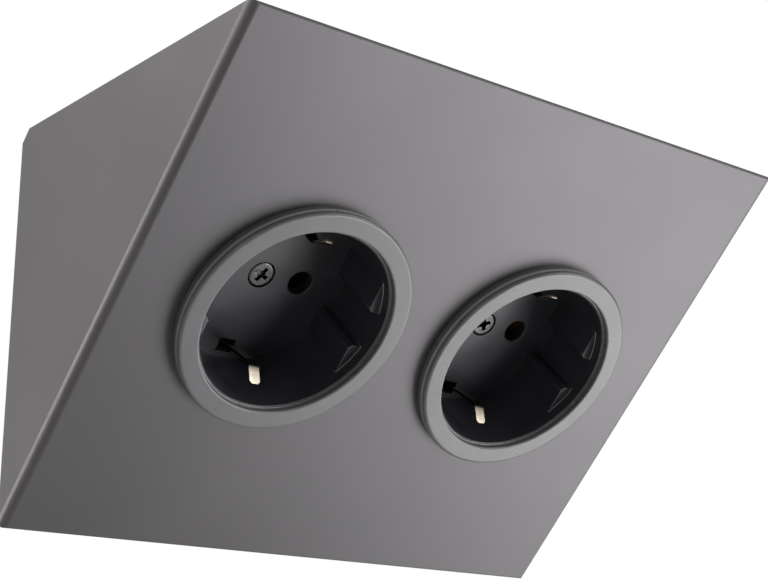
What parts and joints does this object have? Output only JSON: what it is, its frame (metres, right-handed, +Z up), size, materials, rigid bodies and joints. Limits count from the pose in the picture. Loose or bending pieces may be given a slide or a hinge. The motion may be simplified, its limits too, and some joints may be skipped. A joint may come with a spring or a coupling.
{
  "type": "corner power strip",
  "caption": "Triangular corner power strip with a sloping metal front and recessed earthed round sockets in grey rings.",
  "frame": {"origin": "middle of the line where the wall plane and the cupboard plane meet, behind the strip", "axes": "+X along the strip, +Y into the wall, +Z up into the cupboard; the front slopes down towards the wall"},
  "size_m": [0.1376, 0.0798, 0.0798],
  "materials": {
    "grey_coat": "satin",
    "bezel_grey": "satin",
    "black_plastic": "satin",
    "white_plastic": "satin",
    "black_rubber": "matte",
    "galvanised": "spangled zinc",
    "zinc": "bright",
    "nickel": "nickel plated",
    "tinned": "tinned",
    "brass": "satin",
    "wire_brown": "insulation",
    "wire_blue": "insulation",
    "wire_green": "insulation, green and yellow"
  },
  "bodies": {
    "housing": {"front_cover": "grey_coat", "cover_screws": "zinc", "cover_nuts": "zinc", "back_plate": "galvanised", "cupboard_nuts": "zinc", "cable_grommet": "black_rubber", "terminal_block": "white_plastic", "terminal_block_contacts": "brass", "terminal_block_screws": "zinc", "terminal_block_rivets": "zinc", "earth_stud": "zinc", "earth_lug": "tinned", "earth_nut": "zinc", "earth_link_wire": "wire_green", "bezel_ring_left": "bezel_grey", "ring_nut_left": "black_plastic", "socket_body_left": "black_plastic", "contact_carrier_left": "black_plastic", "centre_screw_left": "zinc", "earth_bracket_left": "brass", "line_contact_left": "brass", "neutral_contact_left": "brass", "terminal_screws_left": "zinc", "brown_wire_left": "wire_brown", "blue_wire_left": "wire_blue", "green_yellow_wire_left": "wire_green", "bezel_ring_right": "bezel_grey", "ring_nut_right": "black_plastic", "socket_body_right": "black_plastic", "contact_carrier_right": "black_plastic", "centre_screw_right": "zinc", "earth_bracket_right": "brass", "line_contact_right": "brass", "neutral_contact_right": "brass", "terminal_screws_right": "zinc", "brown_wire_right": "wire_brown", "blue_wire_right": "wire_blue", "green_yellow_wire_right": "wire_green"},
    "earth_clip_upper_left": {"earth_clip_upper_left": "nickel"},
    "earth_clip_lower_left": {"earth_clip_lower_left": "nickel"},
    "line_leaf_a_left": {"line_leaf_a_left": "brass"},
    "line_leaf_b_left": {"line_leaf_b_left": "brass"},
    "neutral_leaf_a_left": {"neutral_leaf_a_left": "brass"},
    "neutral_leaf_b_left": {"neutral_leaf_b_left": "brass"},
    "earth_clip_upper_right": {"earth_clip_upper_right": "nickel"},
    "earth_clip_lower_right": {"earth_clip_lower_right": "nickel"},
    "line_leaf_a_right": {"line_leaf_a_right": "brass"},
    "line_leaf_b_right": {"line_leaf_b_right": "brass"},
    "neutral_leaf_a_right": {"neutral_leaf_a_right": "brass"},
    "neutral_leaf_b_right": {"neutral_leaf_b_right": "brass"}
  },
  "joints": [
    {"name": "earth_clip_upper_left_spring", "type": "hinge", "parent": "housing", "child": "earth_clip_upper_left", "pos_m": [-0.03, -0.04117, -0.01755], "axis": [-1, 0, 0], "range_deg": [0, 8], "stiffness_Nm_per_rad": 0.36},
    {"name": "earth_clip_lower_left_spring", "type": "hinge", "parent": "housing", "child": "earth_clip_lower_left", "pos_m": [-0.03, -0.01755, -0.04117], "axis": [1, 0, 0], "range_deg": [0, 8], "stiffness_Nm_per_rad": 0.36},
    {"name": "line_leaf_a_left_spring", "type": "hinge", "parent": "housing", "child": "line_leaf_a_left", "pos_m": [-0.0422, -0.02059, -0.02059], "axis": [0, 0.7071, -0.7071], "range_deg": [0, 5], "stiffness_Nm_per_rad": 1.7},
    {"name": "line_leaf_b_left_spring", "type": "hinge", "parent": "housing", "child": "line_leaf_b_left", "pos_m": [-0.0368, -0.02059, -0.02059], "axis": [0, -0.7071, 0.7071], "range_deg": [0, 5], "stiffness_Nm_per_rad": 1.7},
    {"name": "neutral_leaf_a_left_spring", "type": "hinge", "parent": "housing", "child": "neutral_leaf_a_left", "pos_m": [-0.0232, -0.02059, -0.02059], "axis": [0, 0.7071, -0.7071], "range_deg": [0, 5], "stiffness_Nm_per_rad": 1.7},
    {"name": "neutral_leaf_b_left_spring", "type": "hinge", "parent": "housing", "child": "neutral_leaf_b_left", "pos_m": [-0.0178, -0.02059, -0.02059], "axis": [0, -0.7071, 0.7071], "range_deg": [0, 5], "stiffness_Nm_per_rad": 1.7},
    {"name": "earth_clip_upper_right_spring", "type": "hinge", "parent": "housing", "child": "earth_clip_upper_right", "pos_m": [0.03, -0.04117, -0.01755], "axis": [-1, 0, 0], "range_deg": [0, 8], "stiffness_Nm_per_rad": 0.36},
    {"name": "earth_clip_lower_right_spring", "type": "hinge", "parent": "housing", "child": "earth_clip_lower_right", "pos_m": [0.03, -0.01755, -0.04117], "axis": [1, 0, 0], "range_deg": [0, 8], "stiffness_Nm_per_rad": 0.36},
    {"name": "line_leaf_a_right_spring", "type": "hinge", "parent": "housing", "child": "line_leaf_a_right", "pos_m": [0.0368, -0.02059, -0.02059], "axis": [0, 0.7071, -0.7071], "range_deg": [0, 5], "stiffness_Nm_per_rad": 1.7},
    {"name": "line_leaf_b_right_spring", "type": "hinge", "parent": "housing", "child": "line_leaf_b_right", "pos_m": [0.0422, -0.02059, -0.02059], "axis": [0, -0.7071, 0.7071], "range_deg": [0, 5], "stiffness_Nm_per_rad": 1.7},
    {"name": "neutral_leaf_a_right_spring", "type": "hinge", "parent": "housing", "child": "neutral_leaf_a_right", "pos_m": [0.0178, -0.02059, -0.02059], "axis": [0, 0.7071, -0.7071], "range_deg": [0, 5], "stiffness_Nm_per_rad": 1.7},
    {"name": "neutral_leaf_b_right_spring", "type": "hinge", "parent": "housing", "child": "neutral_leaf_b_right", "pos_m": [0.0232, -0.02059, -0.02059], "axis": [0, -0.7071, 0.7071], "range_deg": [0, 5], "stiffness_Nm_per_rad": 1.7}
  ]
}
